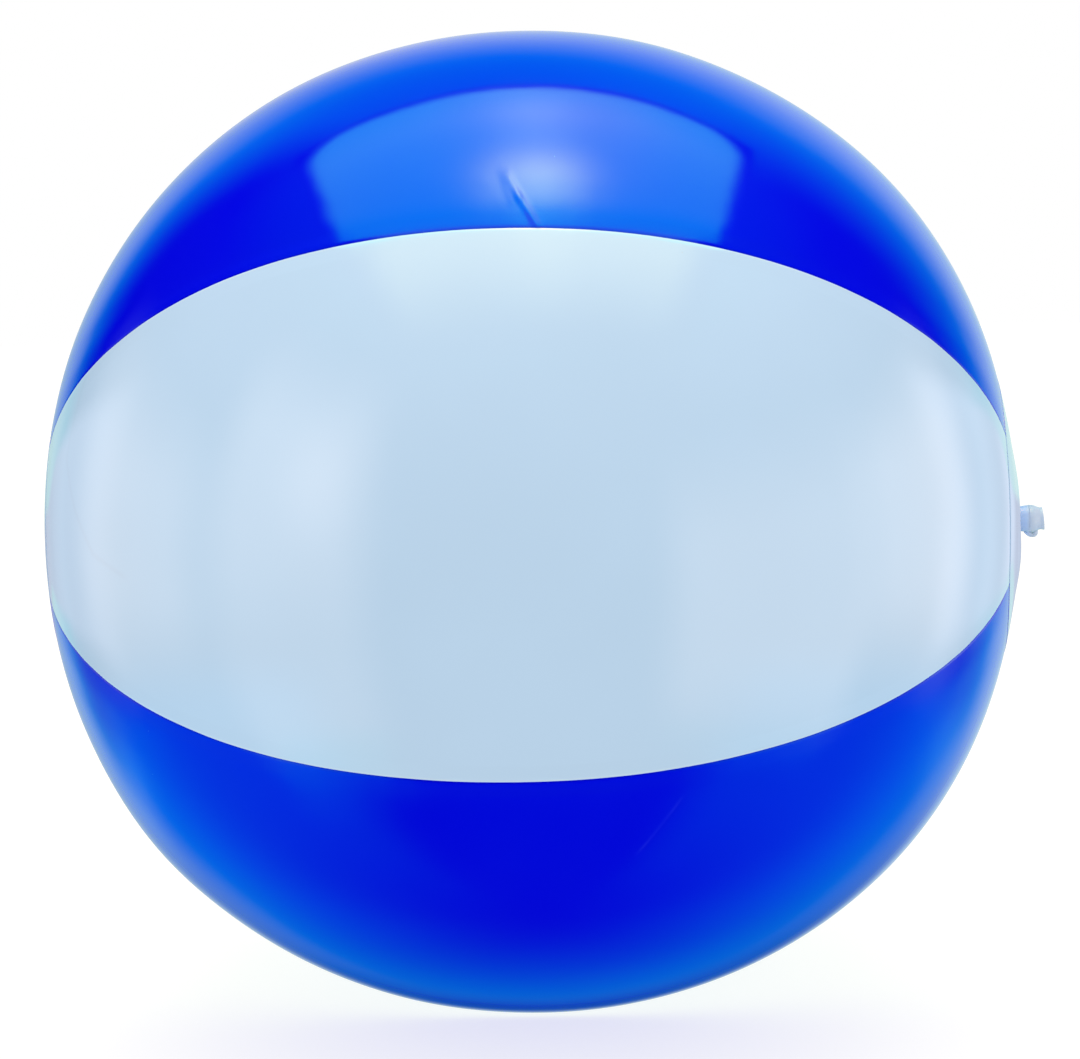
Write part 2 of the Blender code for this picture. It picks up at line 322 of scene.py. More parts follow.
# Softbox over the ball, which only the gloss shows: its frame, and the two ends where it fades
SOFTBOX_HEIGHT = 1.04
SOFTBOX_LEFT = -0.53
SOFTBOX_RIGHT = 0.585
SOFTBOX_NEAR = -0.85
SOFTBOX_FAR = 0.53
SOFTBOX_TURN = math.radians(4.0)
SOFTBOX_EDGE = 0.022
SOFTBOX_CORNER = 0.13
SOFTBOX_BOW = 0.41
SOFTBOX_BOW_MIDDLE = 0.06
SOFTBOX_NEAR_EDGE = (-0.275, -0.245)
SOFTBOX_NEAR_SPREAD = 0.09
SOFTBOX_NEAR_FADE = (-0.80, -0.22)
SOFTBOX_NEAR_LOSS = 0.24
SOFTBOX_FAR_FADE = (0.28, 0.52)

# Its cloth, the lamp behind the cloth and the bright strip across it: places, widths and levels
LAMP_ACROSS = 0.03
LAMP_ALONG = -0.04
LAMP_WIDTH = 0.11
LAMP_LEVEL = 3.9
LAMP_RED = 14.0
LAMP_BLUE_LOSS = 2.0
STRIP_WIDTH = 0.085
STRIP_LEVEL = 0.9
STRIP_RED = 1.6
STRIP_FAR_LOSS = 0.6
CLOTH_LEVEL = 2.2
CLOTH_MIDDLE_GAIN = 0.55
CLOTH_MIDDLE_WIDTH = 0.42
CLOTH_FAR_LOSS = 0.12
CLOTH_RED = 0.65
CLOTH_RED_FADE = (-0.27, -0.04)
CLOTH_RED_FAR_LOSS = 0.5
CLOTH_BLUE = 0.52
RED_GLOW_LEVEL = 1.4
RED_GLOW_OFFSET = 0.07
RED_GLOW_WIDTH = 0.23
NEAR_CLOTH_RED = 1.05
NEAR_CLOTH_BLUE = 0.32

# Lights and walls mirrored at the sides: turns and heights in degrees with their soft edge, and level
LEFT_BOX = ((-72.0, -34.0, 8.0), (-46.0, 34.0, 12.0), 1.05)
LEFT_BOX_LOW_SHARE = 0.55
LEFT_BOX_FULL_HEIGHTS = (-22.0, 6.0)
LEFT_CORE_TURN = -46.0
LEFT_CORE_TURN_WIDTH = 9.0
LEFT_CORE_HEIGHT = 16.0
LEFT_CORE_HEIGHT_WIDTH = 11.0
LEFT_CORE_LEVEL = 0.75
LEFT_WALL = ((-120.0, -78.0, 12.0), (-18.0, 14.0, 10.0), 0.95)
RIGHT_CARD = ((33.0, 84.0, 7.0), (-34.0, 14.0, 14.0), 0.95)
RIGHT_WALL = ((84.0, 120.0, 9.0), (-20.0, 14.0, 10.0), 1.35)
SIDE_RED = 1.28
SIDE_RED_HEIGHTS = (-44.0, -32.0)
SIDE_BLUE = 0.82
CEILING_LEVEL = 0.09
CEILING_HEIGHTS = (36.0, 54.0)
ROOM_BLUE = 0.06

# Paler ends of the walls, in the level band that the tips of the front panel mirror and low beside it
BAND_MIDDLE = -12.6
BAND_TILT = 0.13
BAND_SPREAD = 0.43
BAND_NARROWING = 7.7
BAND_LEAST_HALF = 2.0
BAND_EDGE = (0.66, 0.93)
LEFT_END = ((-144.0, -112.0, 8.0), 0.5)
RIGHT_END = ((112.0, 140.0, 8.0), 0.70)
LOW_END = ((127.0, 152.0, 8.0), (-30.0, -12.0, 5.0), 0.22)
LOW_END_RED = 0.45
END_BLUE = 1.15

# Pale sheet behind the ball, dimmer where the limb of the ball and its end disc mirror it
SHEET_LEVEL = 0.74
SHEET_RIGHT_GAIN = 0.20
SHEET_RIGHT_PLACES = (-0.3, 0.3)
SHEET_RIGHT_TURNS = (125.0, 160.0)
SHEET_LEFT_TURNS = (132.0, 154.0)
SHEET_FOOT_HEIGHTS = (-30.0, -17.0)
SHEET_TOP_HEIGHTS = (8.0, 55.0)
SHEET_TOP_LOSS = 0.42
SHEET_BAND_LOSS = 0.3
SHEET_BLUE = 0.92
SHEET_BAND_BLUE = 0.2
DISC_SHADE = 0.4
DISC_SHADE_PLACES = (0.05, 0.15)
DISC_SHADE_REACH = (17.0, 25.0)
LIMB_REACH = (18.0, 36.0)
LIMB_LOSS = 0.04
LIMB_RED_LOSS = 0.17
LIMB_BLUE_LOSS = 0.06
PALE_CORNER_PLACE = -0.15
PALE_CORNER_WIDTH = 0.12
PALE_CORNER_HEIGHTS = (-2.0, 6.0)
COOLING = 0.0003
COOLING_BAND_LOSS = 0.9
LEAST_RED = 0.1
LEAST_RED_REACH = (26.0, 42.0)

# Mirrored floor, with the ball's shadow on it
GROUND_LEVEL = 0.36
GROUND_TURNS = (38.0, 62.0)
GROUND_HEIGHTS = (-90.0, -30.0)
GROUND_BACK_GAIN = 0.32
GROUND_BACK_TURNS = (95.0, 135.0)
GROUND_BLUE = 0.9
GROUND_SIDE_BLUE = 1.0
GROUND_SIDE_TURNS = (110.0, 155.0)
SHADOW_DEPTH = 0.82
SHADOW_TURNS = (142.0, 176.0)
SHADOW_HEIGHT = -34.0
SHADOW_WIDTH = 12.0
SHADOW_RIGHT_LOSS = 0.12
SHADOW_RIGHT_PLACES = (-0.02, 0.12)

# Camera
CAMERA_PLACE = (0.04265, -0.95214, 0.30458)
CAMERA_FORWARD = (-0.0415, 0.98393, -0.17365)
CAMERA_UP = (0.01550, 0.17441, 0.98455)
CAMERA_LENS = 111.83
CAMERA_SENSOR_WIDTH = 36.0
CAMERA_CLIP_START = 0.01

# The sheet behind the ball stands square to the view of the photo
STRAIGHT_BEHIND = CAMERA_FORWARD

# Panels in order round the polar axis, from the front upward: name and whether it laps the others
PANELS = (
    ("white_panel_front", False),
    ("blue_panel_top", True),
    ("white_panel_upper_back", False),
    ("blue_panel_back", True),
    ("white_panel_lower_back", False),
    ("blue_panel_front_lower", True),
)
PANEL_HALF_ANGLE = math.pi / len(PANELS)


# Node arithmetic

class Field:
    """A number in a node tree, so that a rule is written as plain arithmetic."""

    def __init__(self, socket):
        self.socket = socket
        self.tree = socket.id_data

    def __add__(self, other):
        return calculate("ADD", self, other)

    def __radd__(self, other):
        return calculate("ADD", other, self)

    def __sub__(self, other):
        return calculate("SUBTRACT", self, other)

    def __rsub__(self, other):
        return calculate("SUBTRACT", other, self)

    def __mul__(self, other):
        return calculate("MULTIPLY", self, other)

    def __rmul__(self, other):
        return calculate("MULTIPLY", other, self)

    def __truediv__(self, other):
        return calculate("DIVIDE", self, other)

    def __pow__(self, other):
        return calculate("POWER", self, other)

    def __abs__(self):
        return calculate("ABSOLUTE", self)


def feed(value, socket):
    """Link a field into a socket, or set a plain value on it."""
    if isinstance(value, Field):
        value.tree.links.new(value.socket, socket)
    else:
        socket.default_value = value


def calculate(operation, *values):
    tree = next(value.tree for value in values if isinstance(value, Field))
    node = tree.nodes.new("ShaderNodeMath")
    node.operation = operation
    for socket, value in zip(node.inputs, values):
        feed(value, socket)
    return Field(node.outputs[0])


def smooth(value, low, high):
    """0 below low, 1 above high and a soft step between them."""
    node = value.tree.nodes.new("ShaderNodeMapRange")
    node.interpolation_type = "SMOOTHSTEP"
    feed(value, node.inputs["Value"])
    feed(low, node.inputs["From Min"])
    feed(high, node.inputs["From Max"])
    return Field(node.outputs[0])


def bell(value, width):
    """1 where the value is 0, falling away softly over the width."""
    ratio = value / width
    return calculate("EXPONENT", ratio * ratio * -1.0)


def window(value, low, high, soft):
    """1 between two limits and 0 outside them, with soft edges."""
    return smooth(value, low - soft, low + soft) - smooth(value, high - soft, high + soft)


def combine(x, y, z):
    tree = next(value.tree for value in (x, y, z) if isinstance(value, Field))
    node = tree.nodes.new("ShaderNodeCombineXYZ")
    for socket, value in zip(node.inputs, (x, y, z)):
        feed(value, socket)
    return Field(node.outputs[0])


def separate(vector):
    node = vector.tree.nodes.new("ShaderNodeSeparateXYZ")
    feed(vector, node.inputs[0])
    return [Field(socket) for socket in node.outputs]


def noise(vector, length, detail=2.0):
    """Seeded unevenness from -0.5 to 0.5, with features about the given length."""
    node = vector.tree.nodes.new("ShaderNodeTexNoise")
    feed(vector, node.inputs["Vector"])
    node.inputs["Scale"].default_value = 1.0 / length
    node.inputs["Detail"].default_value = detail
    return Field(node.outputs[0]) - 0.5


def film_line(place, start, end, width):
    """1 along a straight line between two points of the film, fading at its ends."""
    run = Vector(end) - Vector(start)
    length = run.length
    offsets = [part - value for part, value in zip(separate(place), start)]
    along = sum(offset * share for offset, share in zip(offsets, run.normalized()))
    off_square = sum(offset * offset for offset in offsets) - along * along
    distance = calculate("SQRT", calculate("MAXIMUM", off_square, 0.0))
    return bell(distance, width) * window(along, 0.0, length, length * LINE_END_FADE)


# Shapes made by node trees

def new_shape_tree(name, labels):
    """A geometry tree with a number input for each label, a material input and one shape out."""
    tree = bpy.data.node_groups.new(name, "GeometryNodeTree")
    tree.interface.new_socket("Geometry", in_out="OUTPUT", socket_type="NodeSocketGeometry")
    for label in labels:
        tree.interface.new_socket(label, in_out="INPUT", socket_type="NodeSocketFloat")
    tree.interface.new_socket("Material", in_out="INPUT", socket_type="NodeSocketMaterial")
    entry = tree.nodes.new("NodeGroupInput")
    fields = {label: Field(entry.outputs[label]) for label in labels}
    return tree, entry, fields


def unit_grid(tree, columns, rows):
    """A flat grid from 0 to 1 both ways: its geometry socket and the two shares."""
    grid = tree.nodes.new("GeometryNodeMeshGrid")
    grid.inputs["Size X"].default_value = 1.0
    grid.inputs["Size Y"].default_value = 1.0
    grid.inputs["Vertices X"].default_value = columns
    grid.inputs["Vertices Y"].default_value = rows
    place = Field(tree.nodes.new("GeometryNodeInputPosition").outputs[0])
    x, y, _ = separate(place)
    return grid.outputs["Mesh"], x + 0.5, y + 0.5


def store(tree, geometry, name, value):
    node = tree.nodes.new("GeometryNodeStoreNamedAttribute")
    node.data_type = "FLOAT"
    node.domain = "POINT"
    node.inputs["Name"].default_value = name
    tree.links.new(geometry, node.inputs["Geometry"])
    feed(value, node.inputs["Value"])
    return node.outputs["Geometry"]


def close_shape_tree(tree, entry, geometry, place, merge):
    """Move the grid's points into place, close its seams and give it its material."""
    move = tree.nodes.new("GeometryNodeSetPosition")
    tree.links.new(geometry, move.inputs["Geometry"])
    feed(place, move.inputs["Position"])
    geometry = move.outputs["Geometry"]
    if merge:
        join = tree.nodes.new("GeometryNodeMergeByDistance")
        join.inputs["Distance"].default_value = SEAM_MERGE_DISTANCE
        tree.links.new(geometry, join.inputs["Geometry"])
        geometry = join.outputs["Geometry"]
    shade = tree.nodes.new("GeometryNodeSetShadeSmooth")
    realize = tree.nodes.new("GeometryNodeRealizeInstances")
    paint = tree.nodes.new("GeometryNodeSetMaterial")
    leave = tree.nodes.new("NodeGroupOutput")
    tree.links.new(geometry, shade.inputs["Geometry"])
    tree.links.new(shade.outputs["Geometry"], realize.inputs["Geometry"])
    tree.links.new(realize.outputs["Geometry"], paint.inputs["Geometry"])
    tree.links.new(entry.outputs["Material"], paint.inputs["Material"])
    tree.links.new(paint.outputs["Geometry"], leave.inputs["Geometry"])


def new_object(name, mesh):
    item = bpy.data.objects.new(name, mesh)
    bpy.context.scene.collection.objects.link(item)
    return item


def settle(item):
    """Turn an object's modifiers into its plain mesh."""
    bpy.context.view_layer.update()
    evaluated = item.evaluated_get(bpy.context.evaluated_depsgraph_get())
    mesh = bpy.data.meshes.new_from_object(evaluated)
    item.modifiers.clear()
    item.data = mesh
    mesh.name = item.name
    return item


def shape_from_tree(name, tree, values):
    item = new_object(name, bpy.data.meshes.new(name))
    modifier = item.modifiers.new("shape", "NODES")
    modifier.node_group = tree
    for socket in tree.interface.items_tree:
        if socket.in_out == "INPUT":
            modifier[socket.identifier] = values[socket.name]
    return settle(item)


def thicken(item, thickness, offset=-1.0):
    """Give a surface its wall: offset -1 goes inward, 0 to both sides."""
    wall = item.modifiers.new("wall", "SOLIDIFY")
    wall.thickness = thickness
    wall.offset = offset
    wall.use_even_offset = True
    wall.use_quality_normals = True
    settle(item)
    item.data.set_sharp_from_angle(angle=FILM_SHARP_ANGLE)
    return item


# The ball's surface: a superellipse meridian turned about the polar axis

def meridian_angle(radius):
    """Angle along the meridian, 0 at the equator, at a radius from the polar axis."""
    return math.acos((radius / EQUATOR_RADIUS) ** (SHOULDER_EXPONENT / 2))


def meridian_fields(angle):
    """Axial place, radius and outward normal of the meridian, from its angle."""
    power = 2 / SHOULDER_EXPONENT
    steepness = SHOULDER_EXPONENT - 1
    sine = calculate("SINE", angle)
    side = calculate("SIGN", sine)
    axial_share = abs(sine) ** power
    radius_share = calculate("MAXIMUM", calculate("COSINE", angle), 0.0) ** power
    normal_axial = side * axial_share ** steepness / POLE_HALF_LENGTH
    normal_radius = radius_share ** steepness / EQUATOR_RADIUS
    size = calculate("SQRT", normal_axial * normal_axial + normal_radius * normal_radius)
    axial = side * axial_share * POLE_HALF_LENGTH
    return axial, radius_share * EQUATOR_RADIUS, normal_axial / size, normal_radius / size


def ball_place(axial, radius, turn):
    """A point of the row frame, turned about the polar axis from the front upward."""
    y = calculate("COSINE", turn) * radius * -1.0
    z = calculate("SINE", turn) * radius + BALL_CENTRE_HEIGHT
    return combine(axial, y, calculate("MAXIMUM", z, 0.0))


def film_swell(axial, radius, turn, height):
    """Slow unevenness that all the film shares, calm round the two ends."""
    calm = smooth(radius, SWELL_CALM_RADIUS, SWELL_FULL_RADIUS)
    uneven = noise(ball_place(axial, radius, turn), SWELL_LENGTH, SWELL_DETAIL) * calm * height

    # The ball is fuller low on both sides, and slacker at its upper valve side and its plain end
    latitude = calculate("ARCTAN2", axial, radius) * DEGREES
    upward = calculate("SINE", turn)
    low = smooth(upward * -1.0, *HIGH_AND_LOW_SHARES)
    high = smooth(upward, *HIGH_AND_LOW_SHARES)
    full = sum(bell(latitude - middle, width) * rise for middle, width, rise in LOWER_FULLNESS)
    slack = sum(bell(latitude - middle, width) * drop for middle, width, drop in UPPER_SLACK)
    end = (1.0 - smooth(latitude, *PLAIN_END_LATITUDES)) * PLAIN_END_SLACK
    return uneven + full * low - slack * high - end


def make_panel_tree():
    labels = (
        "Middle Turn", "End Angle", "Lap", "Tuck", "Lap Rise", "Lap Edge Rise", "Tuck Depth",
        "Pucker Height", "Swell Height", "Fold Share",
    )
    tree, entry, size = new_shape_tree("film_panel", labels)
    grid, along_share, across_share = unit_grid(tree, PANEL_ROWS, PANEL_COLUMNS)

    # Rows crowd towards the middle, where the folds are, and columns towards the seams
    along = along_share * 2.0 - 1.0
    crowded = along * PANEL_ROW_CROWDING + along * along * along * (1.0 - PANEL_ROW_CROWDING)
    angle = crowded * size["End Angle"]
    across = across_share * 2.0 - 1.0
    from_side = 1.0 - abs(across)
    spread = calculate("SIGN", across) * (1.0 - from_side * from_side)
    axial, radius, normal_axial, normal_radius = meridian_fields(angle)
    half_turn = PANEL_HALF_ANGLE + size["Tuck"] / radius
    turn = size["Middle Turn"] + spread * half_turn

    # Distance from the visible seam, positive towards the panel's middle, and the run along it
    seam_distance = (PANEL_HALF_ANGLE - abs(spread) * half_turn) * radius
    seam_run = angle * EQUATOR_RADIUS
    seam_turn = size["Middle Turn"] + calculate("SIGN", across) * PANEL_HALF_ANGLE

    # The lapping film stands up over its weld, and the tucked film dips under it
    edge = smooth(seam_distance, 0.0, LAP_EDGE_ROUND)
    fade = smooth(seam_distance, SEAM_LAP, SEAM_LAP + LAP_FADE_LENGTH)
    rise = size["Lap Rise"]
    edge_rise = size["Lap Edge Rise"]
    lap = edge_rise + (rise - edge_rise) * edge - rise * fade
    tuck = (smooth(seam_distance, -TUCK_FADE_LENGTH, 0.0) - 1.0) * size["Tuck Depth"]

    # Puckers run across each seam, the same on both of its panels
    seam_place = combine(
        seam_run,
        calculate("COSINE", seam_turn) * EQUATOR_RADIUS,
        calculate("SINE", seam_turn) * EQUATOR_RADIUS)
    pucker = noise(seam_place, PUCKER_LENGTH) * bell(seam_distance, PUCKER_REACH) * size["Pucker Height"]
    swell = film_swell(axial, radius, turn, size["Swell Height"])

    # Both ends dip under the discs, which leaves room for the disc that sinks with the stem
    free = smooth(radius, DISC_RADIUS, DISC_RADIUS + DISC_BLEND_LENGTH)
    dip = (smooth(radius, DISC_RADIUS - DISC_LAP, DISC_RADIUS - DISC_ROOM_CLEARANCE) - 1.0) * DISC_ROOM
    even_place = ball_place(axial, radius, turn)
    fold = sum(
        film_line(even_place, start, end, width) * height
        for start, end, width, height in TOP_PANEL_FOLDS)
    lift = (size["Lap"] * lap + pucker) * free + tuck + swell + dip + fold * size["Fold Share"]
    place = ball_place(axial + lift * normal_axial, radius + lift * normal_radius, turn)
    geometry = store(tree, grid, "seam_distance", seam_distance)
    close_shape_tree(tree, entry, geometry, place, merge=False)
    return tree


def make_disc_tree():
    labels = ("Side", "Hole Radius", "Outer Radius", "Rise", "Bulge", "Dimple", "Sag", "Swell Height")
    tree, entry, size = new_shape_tree("end_disc", labels)
    grid, ring_share, turn_share = unit_grid(tree, DISC_RINGS, DISC_TURNS)
    from_rim = 1.0 - ring_share
    ring_width = size["Outer Radius"] - size["Hole Radius"]
    ring = size["Outer Radius"] - from_rim ** DISC_RING_CROWDING * ring_width
    turn = turn_share * size["Side"] * (-2.0 * math.pi)
    angle = calculate("ARCCOSINE", (ring / EQUATOR_RADIUS) ** (SHOULDER_EXPONENT / 2)) * size["Side"]
    axial, radius, normal_axial, normal_radius = meridian_fields(angle)

    rim_distance = size["Outer Radius"] - ring
    downward = calculate("MAXIMUM", calculate("SINE", turn) * -1.0, 0.0)
    bulge = (1.0 - smooth(ring, VALVE_BULGE_INNER_RADIUS, VALVE_BULGE_OUTER_RADIUS)) * size["Bulge"]
    bulge = bulge + bell(ring - VALVE_SAG_RADIUS, VALVE_SAG_WIDTH) * downward * size["Sag"]
    dimple = (1.0 - smooth(ring, VALVE_DIMPLE_INNER_RADIUS, VALVE_DIMPLE_OUTER_RADIUS)) * size["Dimple"]
    swell = film_swell(axial, radius, turn, size["Swell Height"])
    lift = size["Rise"] + bulge - dimple + swell
    place = ball_place(axial + lift * normal_axial, radius + lift * normal_radius, turn)
    geometry = store(tree, grid, "seam_distance", rim_distance)
    close_shape_tree(tree, entry, geometry, place, merge=True)
    return tree


# Valve pieces: made upright about the valve's axis, then laid along the polar axis

VALVE_TO_BALL = Matrix((
    (0.0, 0.0, 1.0, POLE_HALF_LENGTH),
    (0.0, 1.0, 0.0, 0.0),
    (-1.0, 0.0, 0.0, BALL_CENTRE_HEIGHT - VALVE_DROP),
    (0.0, 0.0, 0.0, 1.0),
))


def valve_point(x, height):
    """Row-frame place of a point at a run below the valve's axis and a height over the film."""
    return VALVE_TO_BALL @ Vector((x, 0.0, height))


def rounded(corners, steps=CORNER_STEPS):
    """Points of a profile whose corners, given as radius, height and rounding, are eased."""
    points = []
    for index, (radius, height, rounding) in enumerate(corners):
        corner = Vector((radius, height))
        if not rounding or index in (0, len(corners) - 1):
            points.append(corner)
            continue
        ends = []
        for other in (corners[index - 1], corners[index + 1]):
            reach = Vector(other[:2]) - corner
            ends.append(corner + reach.normalized() * min(rounding, reach.length * 0.5))
        for step in range(steps + 1):
            share = step / steps
            before = ends[0].lerp(corner, share)
            after = corner.lerp(ends[1], share)
            points.append(before.lerp(after, share))
    return points


def finish_mesh(name, shape, material):
    bmesh.ops.remove_doubles(shape, verts=shape.verts, dist=POINT_MERGE_DISTANCE)
    bmesh.ops.recalc_face_normals(shape, faces=shape.faces)
    for face in shape.faces:
        face.smooth = True
    shape.transform(VALVE_TO_BALL)
    mesh = bpy.data.meshes.new(name)
    shape.to_mesh(mesh)
    shape.free()
    mesh.materials.append(material)
    mesh.set_sharp_from_angle(angle=VALVE_SHARP_ANGLE)
    return new_object(name, mesh)


def spun(name, points, material, closed=False, after=None):
    """A profile of radius and height points turned about the valve's axis."""
    shape = bmesh.new()
    rings = []
    for radius, height in points:
        ring = []
        for index in range(VALVE_SEGMENTS):
            angle = 2 * math.pi * index / VALVE_SEGMENTS
            place = Vector((radius * math.cos(angle), radius * math.sin(angle), height))
            ring.append(shape.verts.new(after(place) if after else place))
        rings.append(ring)
    pairs = list(zip(rings, rings[1:]))
    if closed:
        pairs.append((rings[-1], rings[0]))
    for upper, lower in pairs:
        for index in range(VALVE_SEGMENTS):
            following = (index + 1) % VALVE_SEGMENTS
            shape.faces.new((upper[index], lower[index], lower[following], upper[following]))
    return finish_mesh(name, shape, material)


def make_stem(material):
    corners = (
        (STEM_BORE_RADIUS, 0.0, 0.0),
        (STEM_BORE_RADIUS, STEM_RIM_HEIGHT, STEM_ROUNDING),
        (STEM_RIM_RADIUS, STEM_RIM_HEIGHT, SEAT_EDGE_ROUNDING),
        (STEM_RIM_RADIUS - STEM_LIP_TAPER, STEM_RIM_HEIGHT - STEM_LIP_HEIGHT, STEM_LIP_ROUNDING),
        (STEM_RADIUS, STEM_SHOULDER_HEIGHT, STEM_SHOULDER_ROUNDING),
        (STEM_RADIUS, -STEM_INNER_LENGTH, STEM_ROUNDING),
        (STEM_BORE_RADIUS, -STEM_INNER_LENGTH, STEM_ROUNDING),
        (STEM_BORE_RADIUS, STEM_BORE_JOIN_HEIGHT, 0.0),
    )
    return spun("stem_tube", rounded(corners), material, closed=True)


def make_plug(material):
    waist_foot = PLUG_SEAT_HEIGHT + PLUG_COLLAR_HEIGHT
    waist_top = waist_foot + PLUG_WAIST_HEIGHT
    top = waist_top + PLUG_LIP_HEIGHT
    tip = PLUG_SEAT_HEIGHT - PLUG_SPIGOT_LENGTH
    corners = (
        (0.0, top - PLUG_DISH_DEPTH, 0.0),
        (PLUG_DISH_RADIUS, top - PLUG_DISH_DEPTH * PLUG_DISH_EDGE_SHARE, PLUG_DISH_ROUNDING),
        (PLUG_LIP_RADIUS, top, PLUG_LIP_ROUNDING),
        (PLUG_WAIST_RADIUS, waist_top, PLUG_WAIST_ROUNDING),
        (PLUG_COLLAR_RADIUS, waist_foot, PLUG_COLLAR_ROUNDING),
        (PLUG_COLLAR_RADIUS, PLUG_SEAT_HEIGHT, SEAT_EDGE_ROUNDING),
        (PLUG_SPIGOT_RADIUS, PLUG_SEAT_HEIGHT, PLUG_SPIGOT_ROUNDING),
        (PLUG_TIP_RADIUS, tip, PLUG_TIP_ROUNDING),
        (0.0, tip, 0.0),
    )

    def slant(place):
        share = max(0.0, (place.z - waist_top) / PLUG_LIP_HEIGHT)
        return Vector((place.x, place.y, place.z + PLUG_FACE_SLANT * place.x * min(share, 1.0)))

    return spun("plug_body", rounded(corners), material, after=slant)


def make_neck(material):
    """A thin rolling cone with a soft turn at both ends, from the stem out to the flange."""
    foot = VALVE_HOLE_RADIUS + NECK_FOOT_LAP
    collar = STEM_RADIUS + NECK_STEM_CLEARANCE
    top = NECK_FOOT_HEIGHT + NECK_RISE
    corners = (
        (collar, top + NECK_TURN, 0.0),
        (collar + NECK_TURN, top - NECK_TURN, NECK_TOP_ROUNDING),
        (foot - NECK_FOOT_RUN, NECK_FOOT_HEIGHT + NECK_TURN, NECK_FOOT_ROUNDING),
        (foot, NECK_FOOT_HEIGHT, 0.0),
    )
    neck = spun("neck_cone", rounded(corners, SOFT_BEND_STEPS), material)
    return thicken(neck, NECK_THICKNESS, 0.0)


def dome_height(radius):
    """Height of the ball's end over its pole, so below 0 away from the axis."""
    share = 1.0 - (radius / EQUATOR_RADIUS) ** SHOULDER_EXPONENT
    return POLE_HALF_LENGTH * (share ** (1 / SHOULDER_EXPONENT) - 1.0)


def make_flange(material):
    inner = VALVE_HOLE_RADIUS
    outer = FLANGE_OUTER_RADIUS
    upper_in = dome_height(inner) + FLANGE_LIFT
    upper_out = dome_height(outer) + FLANGE_LIFT
    middle = (inner + outer) / 2
    upper_middle = (upper_in + upper_out) / 2
    corners = (
        (middle, upper_middle, 0.0),
        (outer, upper_out, FLANGE_ROUNDING),
        (outer, upper_out - FLANGE_THICKNESS, FLANGE_ROUNDING),
        (inner, upper_in - FLANGE_THICKNESS, FLANGE_ROUNDING),
        (inner, upper_in, FLANGE_ROUNDING),
        (middle - FLANGE_JOIN_STEP, upper_middle, 0.0),
    )
    return spun("flange_ring", rounded(corners), material, closed=True)


def make_flap(material):
    top = -STEM_INNER_LENGTH - FLAP_GAP
    outline = []
    half = FLAP_TAB_WIDTH / 2
    join = math.pi - math.asin(half / FLAP_RADIUS)
    for step in range(FLAP_STEPS + 1):
        angle = -join + 2 * join * step / FLAP_STEPS
        outline.append((FLAP_RADIUS * math.cos(angle), FLAP_RADIUS * math.sin(angle)))
    outline.append((-FLAP_TAB_RUN, half))
    outline.append((-FLAP_TAB_RUN, -half))
    shape = bmesh.new()
    face = shape.faces.new([shape.verts.new((x, y, top)) for x, y in outline])
    grown = bmesh.ops.extrude_face_region(shape, geom=[face])
    sunk = [part for part in grown["geom"] if isinstance(part, bmesh.types.BMVert)]
    bmesh.ops.translate(shape, verts=sunk, vec=(0.0, 0.0, -FLAP_THICKNESS))
    flap = finish_mesh("flap_disc", shape, material)
    soften = flap.modifiers.new("edge", "BEVEL")
    soften.width = FLAP_EDGE_ROUNDING
    soften.segments = FLAP_EDGE_STEPS
    soften.limit_method = "ANGLE"
    return settle(flap)


def strap_line():
    """Centre line of the strap from the stem, round its tight loop, to the side of the plug."""
    corners = (
        (STEM_RADIUS, STRAP_ROOT_HEIGHT, 0.0),
        (STRAP_OUTER_RUN, STRAP_FOOT_HEIGHT, STRAP_ROUNDING),
        (STRAP_OUTER_RUN, STRAP_END_HEIGHT, STRAP_ROUNDING),
        (PLUG_WAIST_RADIUS, STRAP_END_HEIGHT, 0.0),
    )
    return rounded(corners, STRAP_BEND_STEPS)


def squared(share, squareness):
    """A share of a round section, pushed out towards a square one."""
    return math.copysign(abs(share) ** squareness, share)


def swept_strap(
        name, line, first, last, material, tongue=False, width=STRAP_WIDTH, thickness=STRAP_THICKNESS):
    """A band with rounded sides along part of a line; a tongue is a last, smaller section."""
    shape = bmesh.new()
    rings = []
    for index in range(first, last + 1):
        point = line[index]
        size = STRAP_TONGUE_SHARE if tongue and index == last else 1.0
        ahead = line[min(index + 1, len(line) - 1)] - line[max(index - 1, 0)]
        across = Vector((ahead.y, -ahead.x)).normalized()
        ring = []
        for step in range(STRAP_SIDES):
            angle = 2 * math.pi * step / STRAP_SIDES
            wide = squared(math.cos(angle), STRAP_WIDE_SQUARENESS) * width / 2 * size
            thick = squared(math.sin(angle), STRAP_THICK_SQUARENESS) * thickness / 2 * size
            place = point + across * thick
            ring.append(shape.verts.new((place.x, wide, place.y)))
        rings.append(ring)
    for near, far in zip(rings, rings[1:]):
        for index in range(STRAP_SIDES):
            following = (index + 1) % STRAP_SIDES
            shape.faces.new((near[index], near[following], far[following], far[index]))
    shape.faces.new(list(reversed(rings[0])))
    shape.faces.new(rings[-1])
    return finish_mesh(name, shape, material)


def make_flap_hinge(material):
    """A thin tongue from the stem's wall down to the flap, and two places on it: where its bend ends, and
    its foot.
    """
    run = -FLAP_TAB_RUN
    foot = -STEM_INNER_LENGTH - FLAP_GAP - FLAP_THICKNESS / 2
    bend = HINGE_ROOT_HEIGHT - HINGE_THICKNESS / 2
    corners = (
        (-HINGE_ROOT_RUN, HINGE_ROOT_HEIGHT, 0.0),
        (run, bend, HINGE_ROUNDING),
        (run, foot, 0.0),
    )
    line = rounded(corners, SOFT_BEND_STEPS)
    hinge = swept_strap(
        "flap_hinge", line, 0, len(line) - 1, material, width=FLAP_TAB_WIDTH, thickness=HINGE_THICKNESS)
    return hinge, valve_point(run, bend - HINGE_ROUNDING), valve_point(run, foot)


# Materials

